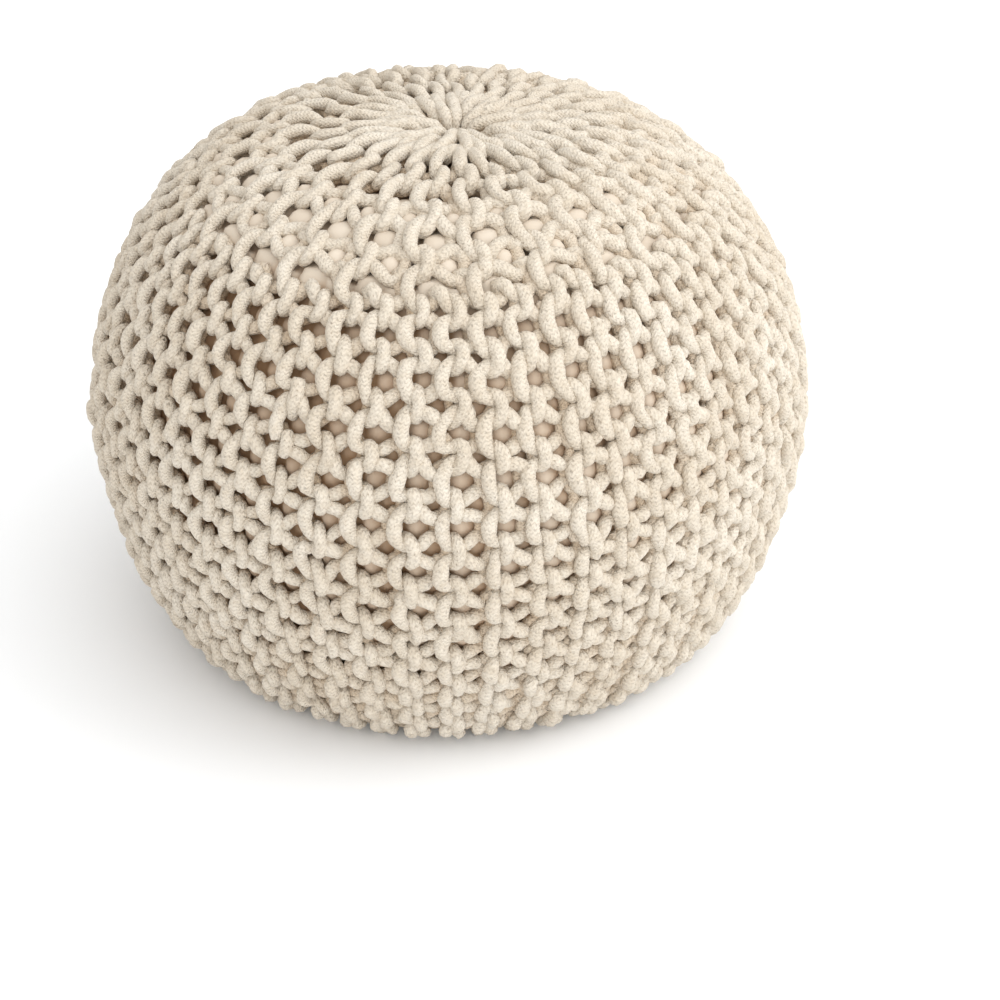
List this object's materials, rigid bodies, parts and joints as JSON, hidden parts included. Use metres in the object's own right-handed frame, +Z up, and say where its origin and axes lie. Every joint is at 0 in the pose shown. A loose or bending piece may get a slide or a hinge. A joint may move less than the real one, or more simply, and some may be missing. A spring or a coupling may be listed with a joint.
{
  "type": "knitted pouf",
  "caption": "Round floor pouf or footstool: a thick cotton cord cover knitted in garter stitch, gathered at the top and underneath over a soft filled casing.",
  "frame": {"origin": "middle of the footprint, on the surface the pouf stands on", "axes": "+Z up through the gathered crown; -Y is the front, the side seen in the picture, with +X to its right"},
  "size_m": [0.5026, 0.4996, 0.3637],
  "materials": {
    "cream_cord": "matt, thick soft cotton cord knitted in garter stitch",
    "casing_cotton": "matt, smooth plain cotton"
  },
  "bodies": {
    "root": {"knit_cover": "cream_cord", "inner_casing": "casing_cotton"}
  },
  "joints": []
}
